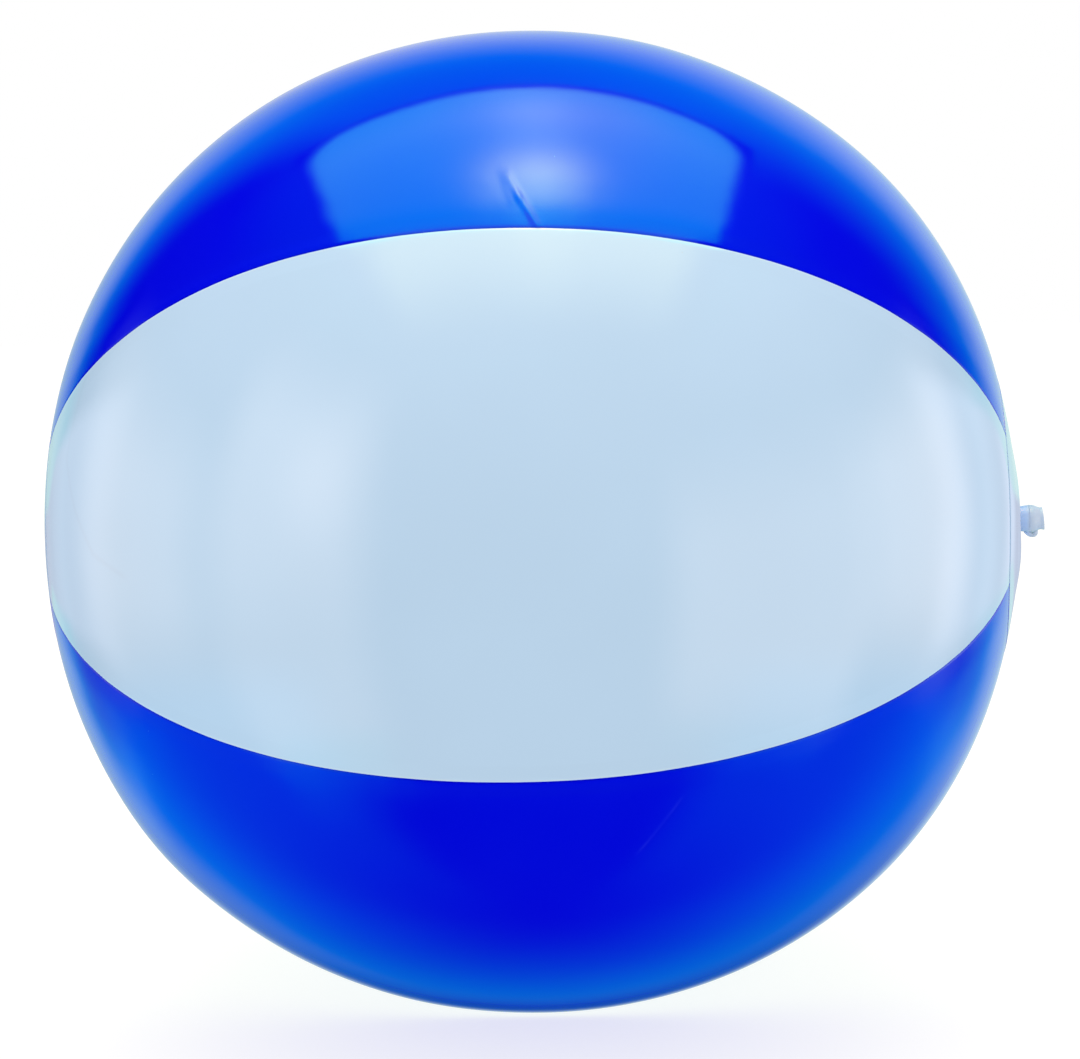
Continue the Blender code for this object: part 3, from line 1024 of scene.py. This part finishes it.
def new_material(name):
    material = bpy.data.materials.new(name)
    material.use_nodes = True
    return material, material.node_tree, material.node_tree.nodes["Principled BSDF"]


def object_place(tree):
    return Field(tree.nodes.new("ShaderNodeTexCoord").outputs["Object"])


def attribute(tree, name):
    node = tree.nodes.new("ShaderNodeAttribute")
    node.attribute_name = name
    return Field(node.outputs["Fac"])


def tinted(tree, colour, other, share):
    """A colour that turns into another by a share field."""
    node = tree.nodes.new("ShaderNodeMix")
    node.data_type = "RGBA"
    for value, socket in ((share, node.inputs[0]), (colour, node.inputs[6]), (other, node.inputs[7])):
        feed(value if isinstance(value, Field) else (*value, 1.0), socket)
    return Field(node.outputs[2])


def bumped(tree, shader, height):
    """Height in metres as a bump on the shader's normal."""
    node = tree.nodes.new("ShaderNodeBump")
    node.inputs["Distance"].default_value = 1.0
    feed(height, node.inputs["Height"])
    tree.links.new(node.outputs["Normal"], shader.inputs["Normal"])


def specks(place, spacing, size, share):
    """1 on small round specks, on the given share of the cells of a loose pattern."""
    node = place.tree.nodes.new("ShaderNodeTexVoronoi")
    feed(place, node.inputs["Vector"])
    node.inputs["Scale"].default_value = 1.0 / spacing
    red, green, _ = separate(Field(node.outputs["Color"]))
    chosen = calculate("LESS_THAN", red, share)
    distance = Field(node.outputs["Distance"]) * spacing
    reach = size * (0.5 + green)
    return (1.0 - smooth(distance, reach * 0.5, reach)) * chosen


def make_film(name, colour, dust, edge_line, band_colour, band_width, specular_tint, index, rub=None):
    """Glossy vinyl film: slow tone drift, haze, fine ripple, dust, a rubbed line, a welded edge band and a
    line along the edge, which on the blue film is painted shade.
    """
    material, tree, shader = new_material(name)
    place = object_place(tree)
    seam = attribute(tree, "seam_distance")

    drift = noise(place, DRIFT_LENGTH, DRIFT_DETAIL)
    deep = tuple(channel * (1.0 - DRIFT_SHARE) for channel in colour)
    pale = tuple(min(1.0, channel * (1.0 + DRIFT_SHARE)) for channel in colour)
    film = tinted(tree, deep, pale, smooth(drift, -DRIFT_REACH, DRIFT_REACH))
    band = smooth(seam, WELD_BAND_START, WELD_BAND_START + WELD_BAND_SOFT)
    band = band * (1.0 - smooth(seam, band_width - WELD_BAND_SOFT, band_width))
    film = tinted(tree, film, band_colour, band)
    # A line along the film's edge: painted shade of the lapping edge on the blue film, a paler line on the
    # white film and a darker line at the disc's rim
    line = bell(seam - EDGE_LINE_PLACE, EDGE_LINE_WIDTH)
    film = tinted(tree, film, edge_line, line * EDGE_LINE_STRENGTH)
    dusty = specks(place, DUST_SPACING, DUST_SIZE, DUST_SHARE)
    film = tinted(tree, film, dust, dusty * DUST_STRENGTH)
    if rub:
        points, width, strength = rub
        for start, end in zip(points, points[1:]):
            film = tinted(tree, film, dust, film_line(place, start, end, width) * strength)
    feed(film, shader.inputs["Base Color"])

    haze = noise(place, HAZE_LENGTH, HAZE_DETAIL)
    roughness = FILM_ROUGHNESS + haze * HAZE_ROUGHNESS + band * WELD_ROUGHNESS + dusty * DUST_ROUGHNESS
    feed(roughness, shader.inputs["Roughness"])

    ripple = noise(place, RIPPLE_LENGTH) * RIPPLE_HEIGHT
    grain = noise(place, GRAIN_LENGTH) * GRAIN_HEIGHT
    bumped(tree, shader, ripple + grain)

    shader.inputs["IOR"].default_value = index
    shader.inputs["Specular Tint"].default_value = (*specular_tint, 1.0)
    return material


def make_valve_plastic():
    """Soft moulded vinyl, slightly cloudy, bluish in the hollow stem and paler in the solid plug."""
    material, tree, shader = new_material("moulded_valve_vinyl")
    place = object_place(tree)
    axial, _, _ = separate(place)
    cloud = noise(place, CLOUD_LENGTH, CLOUD_DETAIL) * CLOUD_SHIFT
    seat = POLE_HALF_LENGTH + PLUG_SEAT_HEIGHT
    solid = smooth(axial + cloud, seat - PALE_START_BELOW_SEAT, seat + PALE_END_ABOVE_SEAT)
    feed(tinted(tree, STEM_BLUISH, PLUG_WHITE, solid), shader.inputs["Base Color"])
    smear = noise(place, VALVE_SMEAR_LENGTH) * VALVE_SMEAR_ROUGHNESS
    feed(VALVE_ROUGHNESS + smear, shader.inputs["Roughness"])
    bumped(tree, shader, noise(place, VALVE_GRAIN_LENGTH) * VALVE_GRAIN_HEIGHT)
    shader.inputs["IOR"].default_value = VALVE_INDEX
    shader.inputs["Subsurface Weight"].default_value = VALVE_MILKINESS
    shader.inputs["Subsurface Radius"].default_value = VALVE_MILK_COLOUR
    shader.inputs["Subsurface Scale"].default_value = VALVE_MILK_DEPTH
    return material


# Pieces

def carry(item, body, node):
    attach(item, body)
    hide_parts(node)


def bridge(item, node):
    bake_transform(item)
    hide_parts(node)


def sink(item):
    """Give a piece round the valve, whose film gives way towards the disc's rim as the stem is pushed in, a
    mesh of its own.
    """
    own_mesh(item)


def make_panels(blue, white):
    tree = make_panel_tree()
    for index, (node, laps) in enumerate(PANELS):
        values = {
            "Middle Turn": FRONT_PANEL_TILT + 2 * PANEL_HALF_ANGLE * index,
            "End Angle": meridian_angle(DISC_RADIUS - DISC_LAP),
            "Lap": 1.0 if laps else 0.0,
            "Tuck": 0.0 if laps else SEAM_LAP,
            "Lap Rise": LAP_RISE,
            "Lap Edge Rise": LAP_EDGE_RISE,
            "Tuck Depth": TUCK_DEPTH,
            "Pucker Height": PUCKER_HEIGHT,
            "Swell Height": SWELL_HEIGHT,
            "Fold Share": 1.0 if node == "blue_panel_top" else 0.0,
            "Material": blue if laps else white,
        }
        panel = shape_from_tree(f"{node}_film", tree, values)
        carry(thicken(panel, FILM_THICKNESS), "ball", node)


def make_discs(white):
    tree = make_disc_tree()
    for node, side, hole, bulge, dimple, sag in (
            ("valve_end_disc", 1.0, VALVE_HOLE_RADIUS, VALVE_BULGE, VALVE_DIMPLE_DEPTH, VALVE_SAG),
            ("plain_end_disc", -1.0, 0.0, 0.0, 0.0, 0.0)):
        values = {
            "Side": side,
            "Hole Radius": hole,
            "Outer Radius": DISC_RADIUS,
            "Rise": DISC_RISE,
            "Bulge": bulge,
            "Dimple": dimple,
            "Sag": sag,
            "Swell Height": SWELL_HEIGHT,
            "Material": white,
        }
        disc = shape_from_tree(f"{node}_film", tree, values)
        carry(thicken(disc, DISC_THICKNESS), "ball", node)
        if hole:
            sink(disc)


def make_valve(plastic):
    stem = make_stem(plastic)
    plug = make_plug(plastic)
    flange = make_flange(plastic)
    carry(flange, "ball", "valve_flange")
    sink(flange)
    carry(stem, "stem", "valve_stem")
    carry(plug, "plug", "valve_plug")
    carry(make_flap(plastic), "flap", "check_flap")
    hinge, hinge_top, hinge_foot = make_flap_hinge(plastic)
    bridge(hinge, "check_flap")

    # The neck's foot meets the flange and its top meets the stem
    bridge(
        make_neck(plastic),
        "valve_neck")
    line = strap_line()
    middle = len(line) // 2
    line.insert(middle, (line[middle - 1] + line[middle]) / 2)
    last = len(line) - 1
    root_half = swept_strap("strap_root_half", line, 0, middle + 1, plastic, tongue=True)
    end_half = swept_strap("strap_end_half", line, middle, last, plastic)
    bridge(root_half, "plug_strap")
    bridge(end_half, "plug_strap")

    # The glossy disc shows no mirror image of the valve
    for piece in (stem, plug, root_half, end_half):
        piece.visible_glossy = False


# Studio

def new_stage_mesh(name, vertices, faces, material):
    mesh = bpy.data.meshes.new(name)
    mesh.from_pydata(vertices, [], faces)
    mesh.materials.append(material)
    item = new_object(name, mesh)
    return item


def seen_by_gloss_only(item):
    """A card that shows in reflections, and neither in the picture nor in the light."""
    item.visible_camera = False
    item.visible_diffuse = False
    item.visible_shadow = False


def new_glow(name):
    material = bpy.data.materials.new(name)
    material.use_nodes = True
    tree = material.node_tree
    tree.nodes.remove(tree.nodes["Principled BSDF"])
    emission = tree.nodes.new("ShaderNodeEmission")
    tree.links.new(emission.outputs[0], tree.nodes["Material Output"].inputs["Surface"])
    return material, tree, emission


def make_overhead_softbox():
    """A softbox over the ball: a hot lamp in its middle, a bright strip and a warm fade at its near end."""
    material, tree, emission = new_glow("overhead_softbox")
    material.cycles.emission_sampling = "NONE"
    x, y, _ = separate(object_place(tree))
    across = x - LAMP_ACROSS
    along = y - LAMP_ALONG
    distance = calculate("SQRT", across * across + along * along)
    middle = (SOFTBOX_LEFT + SOFTBOX_RIGHT) / 2
    half = (SOFTBOX_RIGHT - SOFTBOX_LEFT) / 2
    past_side = calculate("MAXIMUM", abs(x - middle) - (half - SOFTBOX_CORNER), 0.0)
    past_end = calculate("MAXIMUM", y - (SOFTBOX_FAR - SOFTBOX_CORNER), 0.0)
    past = calculate("SQRT", past_side * past_side + past_end * past_end)
    aside = x - SOFTBOX_BOW_MIDDLE
    ahead = y - aside * aside * SOFTBOX_BOW
    near = 1.0 - smooth(ahead, *SOFTBOX_NEAR_EDGE)
    spread = SOFTBOX_NEAR_SPREAD * near
    edge = SOFTBOX_EDGE + spread
    inside = 1.0 - smooth(past + spread, SOFTBOX_CORNER - edge, SOFTBOX_CORNER + edge)
    fade = smooth(y, *SOFTBOX_NEAR_FADE)
    far_end = smooth(y, *SOFTBOX_FAR_FADE)
    strip = bell(across, STRIP_WIDTH) * (1.0 - STRIP_FAR_LOSS * far_end)
    lamp = bell(distance, LAMP_WIDTH)

    # Green sets the level; red and blue have glows of their own, and follow green at the near end
    cloth = CLOTH_LEVEL + CLOTH_MIDDLE_GAIN * bell(distance, CLOTH_MIDDLE_WIDTH)
    cloth = cloth * (1.0 - CLOTH_FAR_LOSS * far_end)
    green = (cloth + STRIP_LEVEL * strip) * fade + LAMP_LEVEL * lamp
    glow = RED_GLOW_LEVEL * bell(across - RED_GLOW_OFFSET, RED_GLOW_WIDTH)
    far_red = (CLOTH_RED + glow + STRIP_RED * strip) * (1.0 - CLOTH_RED_FAR_LOSS * far_end)
    far_red = far_red * smooth(ahead, *CLOTH_RED_FADE) + LAMP_RED * lamp
    far_blue = CLOTH_BLUE * green - LAMP_BLUE_LOSS * lamp
    red = far_red + (NEAR_CLOTH_RED * green - far_red) * near
    blue = far_blue + (NEAR_CLOTH_BLUE * green - far_blue) * near
    dim = inside * (1.0 - SOFTBOX_NEAR_LOSS * near)
    feed(combine(red * dim, green * dim, blue * dim), emission.inputs["Color"])

    rim = 2 * SOFTBOX_EDGE
    corners = [
        (SOFTBOX_LEFT - rim, SOFTBOX_NEAR, 0), (SOFTBOX_RIGHT + rim, SOFTBOX_NEAR, 0),
        (SOFTBOX_RIGHT + rim, SOFTBOX_FAR + rim, 0), (SOFTBOX_LEFT - rim, SOFTBOX_FAR + rim, 0)]
    box = new_stage_mesh("overhead_softbox", corners, [(3, 2, 1, 0)], material)
    box.location = (0.0, 0.0, SOFTBOX_HEIGHT)
    box.rotation_euler = (0.0, 0.0, SOFTBOX_TURN)
    seen_by_gloss_only(box)


def picture_rays(tree):
    """1 for rays that show the background itself: from the camera, in gloss or through glass."""
    path = tree.nodes.new("ShaderNodeLightPath")
    camera = Field(path.outputs["Is Camera Ray"])
    gloss = Field(path.outputs["Is Glossy Ray"])
    through = Field(path.outputs["Is Transmission Ray"])
    return calculate("MINIMUM", camera + gloss + through, 1.0)


def make_floor():
    material, tree, shader = new_material("pale_floor")
    shader.inputs["Base Color"].default_value = (*FLOOR_COLOUR, 1.0)
    shader.inputs["Roughness"].default_value = FLOOR_ROUGHNESS
    shader.inputs["Specular IOR Level"].default_value = 0.0
    shader.inputs["Emission Color"].default_value = (1.0, 1.0, 1.0, 1.0)
    feed(picture_rays(tree) * FLOOR_GLOW, shader.inputs["Emission Strength"])
    around = []
    for side in range(FLOOR_SIDES):
        angle = 2 * math.pi * side / FLOOR_SIDES
        around.append((FLOOR_RADIUS * math.cos(angle), FLOOR_RADIUS * math.sin(angle), -FLOOR_DROP))
    floor = new_stage_mesh("floor", around, [tuple(range(FLOOR_SIDES))], material)
    floor.visible_glossy = False
    floor.visible_diffuse = False


def card(turn, height, turns, heights, level):
    """A patch of light with soft edges, between two turns and two heights."""
    return level * window(turn, *turns) * window(height, *heights)


def mirrored_sides(turn, height):
    """Level of the lights and walls at the two sides of the ball."""
    walls = sum(card(turn, height, *patch) for patch in (LEFT_WALL, RIGHT_CARD, RIGHT_WALL))
    full_share = LEFT_BOX_LOW_SHARE + (1.0 - LEFT_BOX_LOW_SHARE) * smooth(height, *LEFT_BOX_FULL_HEIGHTS)
    box = card(turn, height, *LEFT_BOX) * full_share
    core = bell(turn - LEFT_CORE_TURN, LEFT_CORE_TURN_WIDTH)
    core = core * bell(height - LEFT_CORE_HEIGHT, LEFT_CORE_HEIGHT_WIDTH)
    return box + LEFT_CORE_LEVEL * core + walls


def level_band(height, aside):
    """1 in the band, wider away from straight behind, that the tips of the front panel mirror."""
    middle = aside * BAND_TILT + BAND_MIDDLE
    half = calculate("MAXIMUM", aside * BAND_SPREAD - BAND_NARROWING, BAND_LEAST_HALF)
    return 1.0 - smooth(abs(height - middle) / half, *BAND_EDGE)


def mirrored_sheet(x, turn, height, aside, band):
    """Level of the sheet behind the ball, brighter to the right and dimmer high up."""
    rightward = smooth(x, *SHEET_RIGHT_PLACES)
    sheet = smooth(turn, *SHEET_RIGHT_TURNS) + smooth(turn * -1.0, *SHEET_LEFT_TURNS)
    sheet = sheet * (SHEET_LEVEL + SHEET_RIGHT_GAIN * rightward)
    sheet = sheet * (1.0 - SHEET_BAND_LOSS * band * (1.0 - rightward))
    sheet = sheet * (1.0 - SHEET_TOP_LOSS * smooth(height, *SHEET_TOP_HEIGHTS))
    shade = band * smooth(x, *DISC_SHADE_PLACES) * (1.0 - smooth(aside, *DISC_SHADE_REACH))
    return sheet * (1.0 - DISC_SHADE * shade)


def mirrored_ground(x, away, height):
    """Level of the floor round and behind the ball, with the ball's shadow on it."""
    ground = GROUND_LEVEL + GROUND_BACK_GAIN * smooth(away, *GROUND_BACK_TURNS)
    ground = ground * smooth(away, *GROUND_TURNS) * smooth(height, *GROUND_HEIGHTS)
    shadow = SHADOW_DEPTH * smooth(away, *SHADOW_TURNS) * bell(height - SHADOW_HEIGHT, SHADOW_WIDTH)
    shadow = shadow * (1.0 - SHADOW_RIGHT_LOSS * smooth(x, *SHADOW_RIGHT_PLACES))
    return ground * (1.0 - shadow)


def studio_gloss(tree):
    """Red, green and blue of what the film mirrors, by direction in degrees round and above the ball."""
    direction = Field(tree.nodes.new("ShaderNodeTexCoord").outputs["Generated"])
    x, y, z = separate(direction)
    turn = calculate("ARCTAN2", x, y * -1.0) * DEGREES
    height = calculate("ARCSINE", z) * DEGREES
    away = abs(turn)
    toward = sum(part * share for part, share in zip((x, y, z), STRAIGHT_BEHIND))
    aside = calculate("ARCCOSINE", calculate("MINIMUM", toward, 1.0)) * DEGREES
    band = level_band(height, aside)

    sides = mirrored_sides(turn, height)
    side_red = SIDE_RED * smooth(height, *SIDE_RED_HEIGHTS)
    ceiling = CEILING_LEVEL * smooth(height, *CEILING_HEIGHTS)
    ends = sum(level * window(turn, *turns) for turns, level in (LEFT_END, RIGHT_END)) * band
    low_ends = card(away, height, *LOW_END) * (1.0 - band)

    # The ball's limb mirrors what is nearly straight behind, dimmer but for its pale upper left
    pale_corner = bell(x - PALE_CORNER_PLACE, PALE_CORNER_WIDTH) * smooth(height, *PALE_CORNER_HEIGHTS)
    limb = (1.0 - smooth(aside, *LIMB_REACH)) * (1.0 - band) * (1.0 - pale_corner)
    above = smooth(height, *SHEET_FOOT_HEIGHTS)
    sheet = mirrored_sheet(x, turn, height, aside, band) * above * (1.0 - LIMB_LOSS * limb)
    ground = mirrored_ground(x, away, height) * (1.0 - above)
    behind = sheet + ground

    # Sheet and floor turn cooler away from straight behind
    cooling = aside * aside * COOLING * (1.0 - COOLING_BAND_LOSS * band)
    least_red = behind * LEAST_RED * (1.0 - smooth(aside, *LEAST_RED_REACH))
    behind_red = calculate("MAXIMUM", behind * (1.0 - LIMB_RED_LOSS * limb) - cooling, least_red)
    sheet_blue = SHEET_BLUE + SHEET_BAND_BLUE * band - LIMB_BLUE_LOSS * limb
    ground_blue = GROUND_BLUE + GROUND_SIDE_BLUE * (1.0 - smooth(away, *GROUND_SIDE_TURNS))

    red = sides * side_red + ends + low_ends * LOW_END_RED + behind_red
    green = sides + ends + low_ends + behind + ceiling
    blue = sides * SIDE_BLUE + (ends + low_ends) * END_BLUE + ROOM_BLUE
    blue = blue + sheet * sheet_blue + ground * ground_blue
    return red, green, blue


def make_world():
    world = bpy.data.worlds.new("studio")
    bpy.context.scene.world = world
    world.use_nodes = True
    world.cycles.sampling_method = "NONE"
    tree = world.node_tree
    background = tree.nodes["Background"]
    path = tree.nodes.new("ShaderNodeLightPath")
    camera = Field(path.outputs["Is Camera Ray"])
    through = Field(path.outputs["Is Transmission Ray"])
    gloss = Field(path.outputs["Is Glossy Ray"])
    shown = calculate("MINIMUM", camera + through, 1.0)
    fill = FILL_LEVEL * (1.0 - calculate("MINIMUM", shown + gloss, 1.0))
    channels = [shown + fill + gloss * channel for channel in studio_gloss(tree)]
    feed(combine(*channels), background.inputs["Color"])


def make_key_lamp():
    data = bpy.data.lights.new("overhead_lamp", "AREA")
    data.shape = "RECTANGLE"
    data.size = KEY_SIZE
    data.size_y = KEY_SIZE
    data.energy = KEY_POWER
    data.color = KEY_COLOUR
    lamp = bpy.data.objects.new("overhead_lamp", data)
    lamp.location = (0.0, 0.0, KEY_HEIGHT)
    lamp.visible_camera = False
    lamp.visible_glossy = False
    bpy.context.scene.collection.objects.link(lamp)


def make_studio():
    make_floor()
    make_world()
    make_key_lamp()
    make_overhead_softbox()


def make_camera():
    data = bpy.data.cameras.new("photo_camera")
    data.sensor_width = CAMERA_SENSOR_WIDTH
    data.lens = CAMERA_LENS
    data.clip_start = CAMERA_CLIP_START
    camera = bpy.data.objects.new("photo_camera", data)
    back = -Vector(CAMERA_FORWARD).normalized()
    right = Vector(CAMERA_UP).cross(back).normalized()
    up = back.cross(right)
    turn = Matrix((right, up, back)).transposed()
    camera.matrix_world = Matrix.Translation(CAMERA_PLACE) @ turn.to_4x4()
    bpy.context.scene.collection.objects.link(camera)
    bpy.context.scene.camera = camera


def main():
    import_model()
    blue = make_film(
        "blue_vinyl_film", BLUE, BLUE_DUST, BLUE_EDGE_SHADE, BLUE, SEAM_LAP, BLUE_GLOSS, FILM_INDEX,
        BLUE_RUB)
    white = make_film(
        "white_vinyl_film", WHITE, WHITE_DUST, WHITE_EDGE_LINE, WHITE, SEAM_LAP, WHITE_GLOSS, FILM_INDEX,
        WHITE_RUB)
    disc = make_film(
        "white_disc_film", DISC_WHITE, WHITE_DUST, DISC_RIM_LINE, DISC_BAND, DISC_WELD_WIDTH, WHITE_GLOSS,
        DISC_INDEX)
    plastic = make_valve_plastic()
    make_panels(blue, white)
    make_discs(disc)
    make_valve(plastic)
    make_studio()
    make_camera()
    bpy.context.scene.view_settings.view_transform = "Standard"


main()
